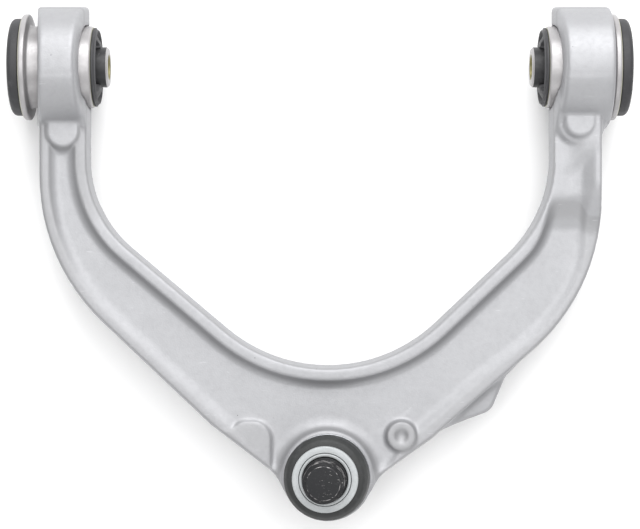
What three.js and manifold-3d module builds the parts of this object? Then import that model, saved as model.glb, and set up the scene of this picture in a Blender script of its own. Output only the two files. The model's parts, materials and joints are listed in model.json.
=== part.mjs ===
// Upper control arm for a car's front suspension: a forged aluminium wishbone with a bonded rubber
// bushing in each eye and a ball joint at the tip. Millimetres, +Z up (the way the ball stud points),
// X along the bushing axis, +Y from the ball joint towards the bushings.
import * as THREE from 'three';
import * as BufferGeometryUtils from 'three/addons/utils/BufferGeometryUtils.js';
import Module from 'manifold-3d';

const wasm = await Module();
wasm.setup();

// ---- driving dimensions ---------------------------------------------------------------------
// Heights of the arm are measured from the bushing axis, heights of the ball joint from its centre.
const GAP = 0.3; // left between pieces that touch
const AXIS_Y = 103.5; // bushing axis
const EYE_RADIUS = 31.7;
const EYE_BORE = 21.7;
const EYE_DRAFT = Math.tan(THREE.MathUtils.degToRad(8));
const FRONT_EYE = { inner: -120.8, outer: -148.3 }; // X of the two end faces at the parting plane
const REAR_EYE = { inner: 121.3, outer: 151.2 };
const FLANGE_X = 151.5; // inboard face of both bushing flanges
const BALL = { x: 3.9, y: -109.8, z: 2, radius: 15.5 };
const HOUSING_RADIUS = 23.4;
const HOUSING_BORE = 18.3;
const HOUSING_TOP = 15; // rim around the stud opening
const HOUSING_SHOULDER = 11; // the dust boot sits on this ledge
const HOUSING_BOTTOM = -22;
const STUD_LEAN = { x: THREE.MathUtils.degToRad(-1.5), y: THREE.MathUtils.degToRad(-2.3) };
const RIM_TOP = 13; // the inner rim of each leg
const LOW_RIM_TOP = 9.5; // the outer rim
const WEB_TOP = 7.5;
const WEB_UNDER = -4;
const SIDE_DRAFT = 1.4; // how far the sides lean in from the parting plane to the rim
const SLEEVE_RADIUS = 21.4;
const SLEEVE_WALL = 2.2;
const TUBE_RADIUS = 10.5; // inner sleeve
const TUBE_BORE = 6.5; // takes an M12 bolt
const THREAD = { radius: 10.4, pitch: 2, start: 40, tip: 58 };

const CENTRE_Y = (AXIS_Y + EYE_RADIUS + BALL.y - HOUSING_RADIUS) / 2;

// ---- geometry helpers -----------------------------------------------------------------------
function toSolid(geometry) {
  const bare = geometry.clone();
  bare.deleteAttribute('normal');
  bare.deleteAttribute('uv');
  const merged = BufferGeometryUtils.mergeVertices(bare, 1e-4);
  const corners = [];
  for (let i = 0; i < merged.index.count; i += 3) {
    const triangle = [0, 1, 2].map((k) => merged.index.getX(i + k));
    // A lathe leaves triangles of no area where its profile meets the axis.
    if (new Set(triangle).size === 3) corners.push(...triangle);
  }
  return new wasm.Manifold(new wasm.Mesh({
    numProp: 3,
    vertProperties: new Float32Array(merged.attributes.position.array),
    triVerts: new Uint32Array(corners),
  }));
}

function toGeometry(solid) {
  const mesh = solid.getMesh();
  const geometry = new THREE.BufferGeometry();
  geometry.setAttribute('position', new THREE.BufferAttribute(mesh.vertProperties, 3));
  geometry.setIndex(new THREE.BufferAttribute(mesh.triVerts, 1));
  geometry.computeVertexNormals();
  return geometry;
}

// A profile of [radius, height] points turned about Z.
const ROUND_SEGMENTS = 28;
const BARREL_SEGMENTS = 40;
function turned(profile, segments = ROUND_SEGMENTS) {
  const points = profile.map(([radius, height]) => new THREE.Vector2(radius, height));
  const geometry = new THREE.LatheGeometry(points, segments);
  geometry.rotateX(Math.PI / 2);
  return geometry;
}

// The same for a ring, whose profile closes on itself.
function turnedRing(profile, segments = ROUND_SEGMENTS) {
  return turned([...profile, profile[0]], segments);
}

// Points on an arc in the profile plane, angles in degrees from the radius axis.
function arcPoints(centre, radius, fromDeg, toDeg, steps) {
  return Array.from({ length: steps + 1 }, (_, i) => {
    const angle = THREE.MathUtils.degToRad(fromDeg + ((toDeg - fromDeg) * i) / steps);
    return [centre[0] + radius * Math.cos(angle), centre[1] + radius * Math.sin(angle)];
  });
}

function torus(radius, wire, height) {
  return turnedRing(arcPoints([radius, height], wire, 0, 300, 5));
}

// A closed outline from corners [x, y, radius]: each corner is rounded by an arc of its radius.
const CHORD_ERROR = 0.3;
function roundedOutline(corners) {
  const points = [];
  corners.forEach(([x, y, radius], i) => {
    const corner = new THREE.Vector2(x, y);
    if (!radius) {
      points.push(corner);
      return;
    }
    const [beforeX, beforeY] = corners[(i + corners.length - 1) % corners.length];
    const [afterX, afterY] = corners[(i + 1) % corners.length];
    const back = new THREE.Vector2(beforeX, beforeY).sub(corner).normalize();
    const ahead = new THREE.Vector2(afterX, afterY).sub(corner).normalize();
    const half = back.angleTo(ahead) / 2;
    const centre = back.clone().add(ahead).normalize().multiplyScalar(radius / Math.sin(half)).add(corner);
    const start = back.clone().multiplyScalar(radius / Math.tan(half)).add(corner).sub(centre);
    const turn = Math.sign(ahead.cross(back)) * (Math.PI - 2 * half);
    const steps = Math.ceil(Math.abs(turn) / (2 * Math.acos(1 - CHORD_ERROR / radius)));
    for (let step = 0; step <= steps; step += 1) {
      points.push(start.clone().rotateAround(new THREE.Vector2(), (turn * step) / steps).add(centre));
    }
  });
  return points;
}

// Moves each edge of a counter-clockwise outline inwards by its own distance. A rounded outer corner
// gets tighter, and a rounded inner corner wider.
function inset(corners, distances) {
  const count = corners.length;
  const lines = corners.map(([x, y], i) => {
    const [nextX, nextY] = corners[(i + 1) % count];
    const along = new THREE.Vector2(nextX - x, nextY - y).normalize();
    const inward = new THREE.Vector2(-along.y, along.x).multiplyScalar(distances[i]);
    return { point: new THREE.Vector2(x, y).add(inward), along };
  });
  return corners.map(([, , radius], i) => {
    const before = lines[(i + count - 1) % count];
    const after = lines[i];
    const bend = before.along.cross(after.along);
    const travel = after.point.clone().sub(before.point).cross(after.along) / bend;
    const corner = before.along.clone().multiplyScalar(travel).add(before.point);
    const change = (distances[i] + distances[(i + count - 1) % count]) / 2;
    return [corner.x, corner.y, radius ? Math.max(radius - Math.sign(bend) * change, 3) : 0];
  });
}

// An outline extruded from one height to another.
function prism(points, low, high) {
  const geometry = new THREE.ExtrudeGeometry(new THREE.Shape(points), {
    depth: high - low,
    bevelEnabled: false,
  });
  geometry.translate(0, 0, low);
  return geometry;
}

// A prism along X, from an outline of [y, z] points.
function prismAlongX(outline, low, high) {
  const geometry = prism(outline.map(([y, z]) => new THREE.Vector2(y, z)), low, high);
  geometry.rotateX(Math.PI / 2);
  geometry.rotateZ(Math.PI / 2);
  return geometry;
}

// A prism whose two end faces are smaller than its outline by `draft`. From the floor it reaches full
// size over `rise`, keeps it for the length of `body` and then tapers back. A negative rise goes down.
function drafted(points, floor, rise, draft, body) {
  const up = rise > 0;
  const geometry = new THREE.ExtrudeGeometry(new THREE.Shape(points), {
    depth: body,
    bevelThickness: Math.abs(rise),
    bevelSize: draft,
    bevelOffset: -draft,
    bevelSegments: 1,
  });
  geometry.translate(0, 0, up ? floor + Math.abs(rise) : floor - Math.abs(rise) - body);
  return geometry;
}

const NO_BODY = 0.01; // the shortest body, where the two tapers meet

function boxSolid(low, high) {
  const size = high.map((value, i) => value - low[i]);
  const geometry = new THREE.BoxGeometry(...size);
  geometry.translate(...low.map((value, i) => value + size[i] / 2));
  return toSolid(geometry);
}

function cylinderAlongX(radius, fromX, toX, round = 0) {
  const length = Math.abs(toX - fromX);
  const profile = round
    ? [
      [0, 0],
      ...arcPoints([radius - round, round], round, -90, 0, 2),
      ...arcPoints([radius - round, length - round], round, 0, 90, 2),
      [0, length],
    ]
    : [[0, 0], [radius, 0], [radius, length], [0, length]];
  const geometry = turned(profile, BARREL_SEGMENTS);
  geometry.rotateY(Math.PI / 2);
  geometry.translate(Math.min(fromX, toX), AXIS_Y, 0);
  return geometry;
}

// ---- arm forging ----------------------------------------------------------------------------
const LEG_TOP = 100; // both legs run up into the eyes
const LEFT_OUTER = -147.1;
const RIGHT_OUTER = 147.5;
const INNER_X = 120.2;
const LEG_CORNERS = [
  [LEFT_OUTER, LEG_TOP, 0],
  [LEFT_OUTER, 1.2, 106],
  [-57.5, -83.6, 35],
  [-17, -114.5, 0],
  [26, -114.4, 0],
  [58.5, -91.2, 35],
  [RIGHT_OUTER, -13.6, 105],
  [RIGHT_OUTER, LEG_TOP, 0],
  [INNER_X, LEG_TOP, 0],
  [INNER_X, 26, 70],
  [7.3, -81.1, 82],
  [-INNER_X, 26.9, 60],
  [-INNER_X, LEG_TOP, 0],
];

// How far the sunken web lies in from each stretch of the legs' edge.
const RIM_WIDTHS = { outerLeft: 6.5, nearHousing: 5.5, outerRight: 8, inner: 9.5 };
const WEB_END = 66; // Y where the legs' top stops being a web
const even = (distance) => ({
  outerLeft: distance, nearHousing: distance, outerRight: distance, inner: distance,
});

// The legs' outline moved inwards by its own distance along each stretch, and ending below the eyes.
function legInset({ outerLeft, nearHousing, outerRight, inner }) {
  const pastEnds = LEG_TOP - WEB_END;
  return roundedOutline(inset(LEG_CORNERS, [
    outerLeft, outerLeft, nearHousing, nearHousing, nearHousing, outerRight, outerRight,
    pastEnds, inner, inner, inner, inner, pastEnds,
  ]));
}

// The sunken web between the rims, as a cutter that widens over `rise`. It ends square across each leg.
function webCutter({ floor, rise, draft, leftEnd, rightEnd }) {
  const clearance = 4;
  const cutter = toSolid(drafted(legInset(RIM_WIDTHS), floor, rise, draft, clearance));
  const leftStop = boxSolid([LEFT_OUTER - 1, leftEnd, -30], [0, LEG_TOP, 30]);
  const rightStop = boxSolid([0, rightEnd, -30], [RIGHT_OUTER + 1, LEG_TOP, 30]);
  return cutter.subtract(leftStop).subtract(rightStop);
}

// Takes the outer rim down. It reaches past the outer edge, and only as far in as the web's floor.
function outerRimCutter() {
  const pastEdge = -3;
  const withinWeb = 14;
  return toSolid(prism(legInset({ ...even(pastEdge), inner: withinWeb }), LOW_RIM_TOP, RIM_TOP + 1));
}

// The rear leg's top below its eye: the web climbs a ramp nearly to the inner rim, and beside it the
// outer edge stands up as a crest that runs down into the low rim.
function rearLegTop() {
  const ramp = { footY: 18, topY: 37.5, top: RIM_TOP - 0.5 };
  const crest = { footY: 17, topY: 42, footX: 133, top: 17, width: 4.5 };
  const below = WEB_TOP - 1;
  const inside = toSolid(prism(legInset(even(SIDE_DRAFT)), below, crest.top));
  const rampSide = [
    [ramp.footY, below], [ramp.footY, WEB_TOP], [ramp.topY, ramp.top], [LEG_TOP, ramp.top], [LEG_TOP, below],
  ];
  const crestSide = [
    [crest.footY, below], [crest.footY, LOW_RIM_TOP], [crest.topY, crest.top], [LEG_TOP, crest.top],
    [LEG_TOP, below],
  ];
  const crestSection = prism([
    new THREE.Vector2(crest.footX, below),
    new THREE.Vector2(RIGHT_OUTER, below),
    new THREE.Vector2(RIGHT_OUTER, crest.top),
    new THREE.Vector2(RIGHT_OUTER - crest.width, crest.top),
    new THREE.Vector2(crest.footX, ramp.top),
  ], -LEG_TOP, 0);
  crestSection.rotateX(Math.PI / 2);
  const rampSolid = toSolid(prismAlongX(rampSide, INNER_X, RIGHT_OUTER));
  const crestSolid = toSolid(prismAlongX(crestSide, INNER_X, RIGHT_OUTER)).intersect(toSolid(crestSection));
  return rampSolid.add(crestSolid).intersect(inside);
}

// An eye: a round barrel whose forged end faces lean in from the parting plane. `outerDraft` is 0 where
// the outboard face is machined flat.
function eye(inner, outer, outerDraft) {
  const side = Math.sign(outer);
  const lean = EYE_RADIUS * EYE_DRAFT;
  const reach = EYE_RADIUS + 1;
  const barrel = toSolid(cylinderAlongX(EYE_RADIUS, inner, outer, 3));
  const outline = [
    [inner + side * lean, -EYE_RADIUS],
    [outer - side * outerDraft * lean, -EYE_RADIUS],
    [outer, 0],
    [outer - side * outerDraft * lean, EYE_RADIUS],
    [inner + side * lean, EYE_RADIUS],
    [inner, 0],
  ].map(([x, z]) => new THREE.Vector2(x, z));
  const wedge = prism(outline, -AXIS_Y - reach, -AXIS_Y + reach);
  wedge.rotateX(Math.PI / 2);
  return barrel.intersect(toSolid(wedge));
}

// Half-round landings on the top of the legs, just below the eyes: one in front and two steps behind.
const LANDINGS = [
  { x: -133.6, tipY: 61.4, radius: 7.8, top: RIM_TOP + 1.5 },
  { x: 134, tipY: 63, radius: 10.4, top: 15.4 },
  { x: 134.4, tipY: 66.6, radius: 7.2, top: 18.4 },
];

function landing({ x, tipY, radius, top }) {
  const end = AXIS_Y - EYE_RADIUS / 2;
  const skirt = 1.6; // the wall around it slopes by this over its height
  const wallHeight = 5;
  const rootHeight = 4;
  const halfWidth = radius + skirt;
  return toSolid(drafted(roundedOutline([
    [x - halfWidth, tipY - skirt, radius],
    [x + halfWidth, tipY - skirt, radius],
    [x + halfWidth, end, 0],
    [x - halfWidth, end, 0],
  ]), top, -wallHeight, skirt, rootHeight));
}

function housing() {
  const chamfer = 1;
  const neck = 19.9; // the dust boot's bead grips it
  const body = toSolid(turned([
    [0, HOUSING_BOTTOM],
    [HOUSING_RADIUS - chamfer, HOUSING_BOTTOM],
    [HOUSING_RADIUS, HOUSING_BOTTOM + chamfer],
    [HOUSING_RADIUS, HOUSING_SHOULDER],
    [neck, HOUSING_SHOULDER],
    [neck, HOUSING_TOP],
    [0, HOUSING_TOP],
  ], BARREL_SEGMENTS));
  return body.translate(BALL.x, BALL.y, BALL.z);
}

// The fillet between the web and the housing, kept to where there is a web.
function housingSkirt(legs) {
  const reach = 3.2;
  const cone = toSolid(turned([
    [0, WEB_UNDER],
    [HOUSING_RADIUS + reach, WEB_UNDER],
    [HOUSING_RADIUS + reach, WEB_TOP],
    [HOUSING_RADIUS + reach / 4, WEB_TOP + reach / 2],
    [HOUSING_RADIUS - 0.2, RIM_TOP - 1],
    [0, RIM_TOP - 1],
  ], BARREL_SEGMENTS));
  return cone.translate(BALL.x, BALL.y, 0).intersect(legs);
}

// The machined inside of the housing, open at both ends, with the snap ring's groove.
function housingBore() {
  const lip = { underside: 11.3, inner: 15.3, outer: 17.2 };
  const coverSeat = -16.3;
  const coverBore = 20;
  const groove = { low: -21.6, high: -19.8, radius: 21 };
  const bore = toSolid(turned([
    [0, HOUSING_BOTTOM - 1],
    [coverBore, HOUSING_BOTTOM - 1],
    [coverBore, groove.low],
    [groove.radius, groove.low],
    [groove.radius, groove.high],
    [coverBore, groove.high],
    [coverBore, coverSeat],
    [HOUSING_BORE, coverSeat],
    [HOUSING_BORE, lip.underside],
    [lip.inner, lip.underside],
    [lip.outer, HOUSING_TOP + 1],
    [0, HOUSING_TOP + 1],
  ], 32));
  return bore.translate(BALL.x, BALL.y, BALL.z);
}

// The rear bushing's flange sits on its eye, so that bore opens out for the fillet behind the flange.
function flangeChamfer() {
  const depth = 2.6;
  const cone = turned([[0, -depth], [EYE_BORE, -depth], [EYE_BORE + depth + 1, 1], [0, 1]], BARREL_SEGMENTS);
  cone.rotateY(Math.PI / 2);
  cone.translate(REAR_EYE.outer, AXIS_Y, 0);
  return toSolid(cone);
}

// Carries the leg's full depth over to the wider rear eye.
function gusset() {
  const root = RIGHT_OUTER - 6;
  const tip = REAR_EYE.outer - 0.2;
  const outline = roundedOutline([
    [root, 60, 0],
    [RIGHT_OUTER, 67, 4],
    [tip, 76, 2],
    [tip, LEG_TOP, 0],
    [root, LEG_TOP, 0],
  ]);
  return toSolid(drafted(outline, -RIM_TOP, RIM_TOP, SIDE_DRAFT, NO_BODY));
}

// A flat ledge that stands out low on the rear leg.
function ear() {
  const underside = -7;
  const top = -1;
  return toSolid(prism(roundedOutline([
    [60, -80, 0],
    [64, -87, 3],
    [79, -81, 12],
    [90, -77, 9],
    [98, -58, 12],
    [103, -52, 3],
    [95, -45, 0],
  ]), underside, top));
}

// A small round boss on the web beside the housing, with a dimple.
function roundBoss() {
  const foot = 9.2;
  const rim = { radius: 7.5, top: WEB_TOP + 3.6 };
  const dimple = { mouth: 3.9, radius: 2.6, floor: rim.top - 1.6 };
  const below = WEB_TOP - 3;
  const boss = turned([
    [0, below],
    [foot, below],
    [foot, WEB_TOP],
    [rim.radius, rim.top],
    [dimple.mouth, rim.top],
    [dimple.radius, dimple.floor],
    [0, dimple.floor],
  ]);
  boss.translate(42.6, -88, 0);
  return toSolid(boss);
}

// A raised pad on the front leg's low rim, kept to where the legs are.
function lobe(legs) {
  const wallHeight = 3;
  const wallSlope = 0.8;
  const outline = roundedOutline([
    [-26, -101, 0],
    [-26, -81, 9],
    [-41, -81, 7],
    [-48, -87, 5],
    [-56, -84, 0],
    [-50, -92, 0],
  ]);
  return toSolid(drafted(outline, LOW_RIM_TOP + 0.3, -wallHeight, wallSlope, wallHeight)).intersect(legs);
}

// An eye's bore, cut through both of its end faces.
function eyeBore({ inner, outer }) {
  const past = 5;
  const side = Math.sign(outer);
  return toSolid(cylinderAlongX(EYE_BORE, inner - side * past, outer + side * past));
}

function armForging() {
  const legs = toSolid(drafted(roundedOutline(LEG_CORNERS), -RIM_TOP, RIM_TOP, SIDE_DRAFT, NO_BODY));
  const topWeb = webCutter({
    floor: WEB_TOP, rise: RIM_TOP - WEB_TOP, draft: 2.2, leftEnd: WEB_END, rightEnd: WEB_END,
  });
  const underWeb = webCutter({
    floor: WEB_UNDER, rise: -RIM_TOP - WEB_UNDER, draft: 2.6, leftEnd: 52, rightEnd: 48,
  });
  let arm = legs.add(gusset()).add(ear());
  arm = arm.subtract(topWeb).subtract(underWeb).subtract(outerRimCutter());
  arm = arm.add(rearLegTop()).add(roundBoss()).add(lobe(legs));
  LANDINGS.forEach((place) => {
    arm = arm.add(landing(place));
  });
  arm = arm.add(eye(FRONT_EYE.inner, FRONT_EYE.outer, 1)).add(eye(REAR_EYE.inner, REAR_EYE.outer, 0));
  arm = arm.add(housingSkirt(legs)).add(housing()).subtract(housingBore());
  arm = arm.subtract(eyeBore(FRONT_EYE)).subtract(eyeBore(REAR_EYE)).subtract(flangeChamfer());
  return toGeometry(arm);
}

// ---- bushing --------------------------------------------------------------------------------
// Axial places along +Z, outboard, from the inboard face of the flange.
const SLEEVE_END = -33.2;
const FLANGE = { radius: 27.7, thickness: 3.4 };
const TUBE_ENDS = { inboard: -40.9, outboard: 8.5 };
const BUMPER = { radius: 25.4, outboard: 9.5 };

function outerSleeve() {
  const inside = SLEEVE_RADIUS - SLEEVE_WALL;
  const fillet = 1.5;
  const edge = 1;
  return turnedRing([
    [inside, SLEEVE_END],
    [SLEEVE_RADIUS - 0.6, SLEEVE_END],
    [SLEEVE_RADIUS, SLEEVE_END + 0.6],
    [SLEEVE_RADIUS, -fillet],
    [SLEEVE_RADIUS + fillet, 0],
    ...arcPoints([FLANGE.radius - edge, edge], edge, -90, 0, 2),
    ...arcPoints([FLANGE.radius - edge, FLANGE.thickness - edge], edge, 0, 90, 2),
    [inside, FLANGE.thickness],
  ]);
}

// The rubber between the two sleeves, with a kidney-shaped void above and below the inner sleeve. The
// voids are open inboard, and the rubber bridges the sleeves on the +Y and -Y sides.
function rubberElement() {
  const outside = SLEEVE_RADIUS - SLEEVE_WALL - GAP;
  const inside = TUBE_RADIUS + GAP;
  const outboard = FLANGE.thickness - 1;
  const ring = toSolid(turnedRing([
    [inside, TUBE_ENDS.inboard + 4],
    [13.5, TUBE_ENDS.inboard + 4.4],
    [18.2, TUBE_ENDS.inboard + 6.6],
    [20.3, SLEEVE_END - 2.4],
    [20.6, SLEEVE_END - GAP],
    [outside, SLEEVE_END - GAP],
    [outside, outboard],
    [15, outboard - 4],
    [inside, outboard - 1],
  ]));
  const floor = SLEEVE_END + 2; // of the voids, which open inboard
  const reach = 20;
  const innerRadius = 12.2;
  const outerRadius = 16.8;
  const halfSpan = THREE.MathUtils.degToRad(55);
  const kidney = new THREE.Shape();
  kidney.absarc(0, 0, outerRadius, -halfSpan, halfSpan, false);
  kidney.absarc(0, 0, innerRadius, halfSpan, -halfSpan, true);
  const pocket = new THREE.ExtrudeGeometry(kidney, { depth: reach, bevelEnabled: false, curveSegments: 6 });
  pocket.translate(0, 0, floor - reach);
  const lower = pocket.clone().rotateZ(Math.PI);
  return toGeometry(ring.subtract(toSolid(pocket)).subtract(toSolid(lower)));
}

function thrustBumper() {
  const inside = TUBE_RADIUS + 2;
  const base = FLANGE.thickness + GAP;
  const round = 2.6;
  return turnedRing([
    [inside, base],
    [BUMPER.radius - 0.6, base],
    [BUMPER.radius, base + 0.6],
    ...arcPoints([BUMPER.radius - round, BUMPER.outboard - round], round, 0, 90, 3),
    [inside + 1, BUMPER.outboard],
    [inside, BUMPER.outboard - 1],
  ]);
}

function innerSleeve() {
  const chamfer = 0.6;
  return turnedRing([
    [TUBE_BORE, TUBE_ENDS.inboard + chamfer],
    [TUBE_BORE + chamfer, TUBE_ENDS.inboard],
    [TUBE_RADIUS - chamfer, TUBE_ENDS.inboard],
    [TUBE_RADIUS, TUBE_ENDS.inboard + chamfer],
    [TUBE_RADIUS, TUBE_ENDS.outboard - chamfer],
    [TUBE_RADIUS - chamfer, TUBE_ENDS.outboard],
    [TUBE_BORE + chamfer, TUBE_ENDS.outboard],
    [TUBE_BORE, TUBE_ENDS.outboard - chamfer],
  ]);
}

// ---- ball joint, heights from the ball's centre ---------------------------------------------
const SEAT = { outer: HOUSING_BORE - GAP, inner: BALL.radius + GAP };
const NECK_RADIUS = 8.2;
const SHANK_RADIUS = 11.2;
const RING_BASE = 31.3;

function threadProfile() {
  const depth = 0.7;
  const turns = Math.floor((THREAD.tip - 2 - THREAD.start) / THREAD.pitch);
  const points = [];
  for (let i = 0; i < turns; i += 1) {
    const height = THREAD.start + i * THREAD.pitch;
    points.push([THREAD.radius - depth, height], [THREAD.radius, height + THREAD.pitch / 2]);
  }
  return points;
}

function ballStud() {
  const flatBelow = -12;
  const flatAngle = THREE.MathUtils.radToDeg(Math.asin(flatBelow / BALL.radius));
  const neckAngle = THREE.MathUtils.radToDeg(Math.acos(NECK_RADIUS / BALL.radius));
  return turned([
    [0, flatBelow],
    ...arcPoints([0, 0], BALL.radius, flatAngle, neckAngle, 9),
    [NECK_RADIUS, 30.6],
    [SHANK_RADIUS, 31.2],
    [SHANK_RADIUS - 0.3, 38.6],
    ...threadProfile(),
    [THREAD.radius - 0.7, THREAD.tip - 2],
    [THREAD.radius - 2.2, THREAD.tip],
    [0, THREAD.tip],
  ]);
}

function upperSeat() {
  const lip = 8;
  const lipAngle = THREE.MathUtils.radToDeg(Math.asin(lip / SEAT.inner));
  return turnedRing([
    ...arcPoints([0, 0], SEAT.inner, lipAngle, 1, 3),
    [SEAT.outer, 0.2],
    [SEAT.outer, 11],
    [14.8, 11],
  ]);
}

function lowerSeat() {
  const bottomAngle = -58;
  return turnedRing([
    ...arcPoints([0, 0], SEAT.inner, -1, bottomAngle, 5),
    [7, -15.6],
    [16, -15.6],
    [SEAT.outer, -13.6],
    [SEAT.outer, -0.2],
  ]);
}

function preloadWasher() {
  return turnedRing([[7, -17], [17.6, -17], [17.6, -16.3], [8, -15.9], [7, -16.1]], 32);
}

function coverPlate() {
  return turned([
    [0, -20.4],
    [12.4, -20.4],
    [14.4, -19.4],
    [19.7, -19.4],
    [19.7, -17.3],
    [14, -17.3],
    [12, -18.4],
    [0, -18.4],
  ]);
}

function snapRing() {
  const outline = new THREE.Shape();
  const halfGap = THREE.MathUtils.degToRad(9);
  outline.absarc(0, 0, 20.7, halfGap, 2 * Math.PI - halfGap, false);
  outline.absarc(0, 0, 18, 2 * Math.PI - halfGap, halfGap, true);
  const ring = new THREE.ExtrudeGeometry(outline, { depth: 1.2, bevelEnabled: false, curveSegments: 24 });
  ring.translate(0, 0, -21.3);
  return ring;
}

// Leans the boot over with the stud: not at all at its bead, and fully at its neck.
function leanWithStud(geometry) {
  const position = geometry.attributes.position;
  const point = new THREE.Vector3();
  for (let i = 0; i < position.count; i += 1) {
    point.fromBufferAttribute(position, i);
    const share = THREE.MathUtils.smoothstep(point.z, HOUSING_TOP, 26);
    point.applyEuler(new THREE.Euler(STUD_LEAN.x * share, STUD_LEAN.y * share, 0));
    position.setXYZ(i, point.x, point.y, point.z);
  }
  return geometry;
}

// A bellows: a bead around the housing's rim, a round belly, and a neck under the seal ring.
function dustBoot() {
  return leanWithStud(turnedRing([
    [20.3, HOUSING_SHOULDER + GAP],
    [21.8, HOUSING_SHOULDER + GAP],
    [21.8, 12.1],
    [21, 12.5],
    [21, 13.9],
    [21.7, 14.3],
    [21.9, 18],
    [21.7, 22.5],
    [20.4, 26],
    [18.2, 28.2],
    [15.2, 28.6],
    [15.2, 30.9],
    [NECK_RADIUS + GAP, 30.2],
    [NECK_RADIUS + GAP, 26.6],
    [13, 26.4],
    [17.6, 24.8],
    [19.4, 21],
    [19.5, 17],
    [20.3, 15.2],
  ]));
}

function sealRing() {
  const outer = 16.8;
  return turnedRing([
    [13.5, RING_BASE],
    [outer - 0.5, RING_BASE],
    [outer, RING_BASE + 0.6],
    [outer, 34],
    [outer - 0.8, 34.8],
    [13.5, 34.8],
  ]);
}

function sealRingInsert() {
  return turnedRing([
    [11.6, RING_BASE], [13.2, RING_BASE], [13.2, 35], [12.8, 35.3], [12.1, 35.2], [11.6, 34.2],
  ]);
}

// ---- materials ------------------------------------------------------------------------------
const finish = (color, roughness, metalness) => (
  new THREE.MeshStandardMaterial({ color, roughness, metalness })
);
const MATERIALS = {
  forging: () => finish(0xc4c5c9, 0.55, 0.75),
  zinc: () => finish(0xc9ccc6, 0.38, 0.9),
  rubber: () => finish(0x2b2c2e, 0.7, 0),
  coatedSteel: () => finish(0x3a3b3d, 0.5, 0.6),
  phosphate: () => finish(0x2f3032, 0.55, 0.5),
  polymer: () => finish(0xe8e4d8, 0.45, 0),
  springSteel: () => finish(0x8c8f93, 0.35, 0.9),
};

function piece(name, geometry, material) {
  const mesh = new THREE.Mesh(geometry, MATERIALS[material]());
  mesh.name = name;
  return mesh;
}

// ---- assembly -------------------------------------------------------------------------------
function bushing(name, side) {
  const group = new THREE.Group();
  group.position.set(side * FLANGE_X, AXIS_Y, 0);
  group.rotation.y = (side * Math.PI) / 2;
  group.add(
    piece(`${name}_outer_sleeve`, outerSleeve(), 'zinc'),
    piece(`${name}_rubber_element`, rubberElement(), 'rubber'),
    piece(`${name}_thrust_bumper`, thrustBumper(), 'rubber'),
    piece(`${name}_inner_sleeve`, innerSleeve(), 'coatedSteel'),
  );
  return group;
}

function ballJoint() {
  const fixed = new THREE.Group();
  fixed.position.set(BALL.x, BALL.y, BALL.z);
  fixed.add(
    piece('ball_seat_upper', upperSeat(), 'polymer'),
    piece('ball_seat_lower', lowerSeat(), 'polymer'),
    piece('preload_washer', preloadWasher(), 'springSteel'),
    piece('cover_plate', coverPlate(), 'zinc'),
    piece('snap_ring', snapRing(), 'springSteel'),
    piece('boot_clamp_lower', torus(21.9, 0.6, 13.2), 'springSteel'),
  );
  const leaning = new THREE.Group();
  leaning.rotation.set(STUD_LEAN.x, STUD_LEAN.y, 0);
  leaning.add(
    piece('ball_stud', ballStud(), 'phosphate'),
    piece('seal_ring', sealRing(), 'zinc'),
    piece('seal_ring_insert', sealRingInsert(), 'zinc'),
    piece('boot_clamp_upper', torus(16.1, 0.6, 29.8), 'springSteel'),
  );
  fixed.add(leaning);
  fixed.add(piece('dust_boot', dustBoot(), 'rubber'));
  return fixed;
}

const controlArm = new THREE.Group();
controlArm.position.set(0, -CENTRE_Y, EYE_RADIUS);
controlArm.add(
  piece('arm_forging', armForging(), 'forging'),
  bushing('front_bushing', -1),
  bushing('rear_bushing', 1),
  ballJoint(),
);

export default controlArm;
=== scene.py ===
"""Upper control arm: a forged aluminium wishbone with two rubber bushings and a ball joint.

Shapes are worked out in millimetres from ORIGIN: x along the bushing axis, y from the ball joint
towards the bushings, z up from the bushing axis. Meshes are in metres, in the row frame.
"""
import json
import math

import bmesh
import bpy
import numpy as np
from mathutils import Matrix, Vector


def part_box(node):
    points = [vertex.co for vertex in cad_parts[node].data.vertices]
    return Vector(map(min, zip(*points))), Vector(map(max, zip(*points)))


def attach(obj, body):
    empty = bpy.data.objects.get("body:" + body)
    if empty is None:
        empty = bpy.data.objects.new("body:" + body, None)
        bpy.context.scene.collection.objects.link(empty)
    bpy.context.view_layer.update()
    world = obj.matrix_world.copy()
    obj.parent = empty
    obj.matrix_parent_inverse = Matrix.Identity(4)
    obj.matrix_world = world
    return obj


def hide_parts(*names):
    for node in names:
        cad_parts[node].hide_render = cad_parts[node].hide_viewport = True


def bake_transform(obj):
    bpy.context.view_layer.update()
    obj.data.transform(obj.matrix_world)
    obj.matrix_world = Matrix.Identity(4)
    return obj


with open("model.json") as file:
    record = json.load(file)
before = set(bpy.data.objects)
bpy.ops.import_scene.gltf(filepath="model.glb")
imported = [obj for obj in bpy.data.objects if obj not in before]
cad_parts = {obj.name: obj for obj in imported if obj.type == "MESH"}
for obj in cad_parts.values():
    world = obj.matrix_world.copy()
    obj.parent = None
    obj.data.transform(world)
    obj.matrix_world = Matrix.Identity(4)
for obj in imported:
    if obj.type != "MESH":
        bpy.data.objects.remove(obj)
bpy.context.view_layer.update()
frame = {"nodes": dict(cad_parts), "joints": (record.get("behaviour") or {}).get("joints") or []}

# ---- places taken from the frame --------------------------------------------------------------
MM = 0.001
JOINTS = {joint["name"]: joint for joint in frame["joints"]}
AXIS_POINT = np.array(JOINTS["front_bushing_twist"]["pos_m"])
BALL_POINT = np.array(JOINTS["stud_spin"]["pos_m"])
STUD_AXIS = np.array(JOINTS["stud_spin"]["axis"])
AXIS_Y = 103.5
ORIGIN = np.array([0.0, AXIS_POINT[1] - AXIS_Y * MM, AXIS_POINT[2]])
BALL = (BALL_POINT - ORIGIN) / MM


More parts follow.
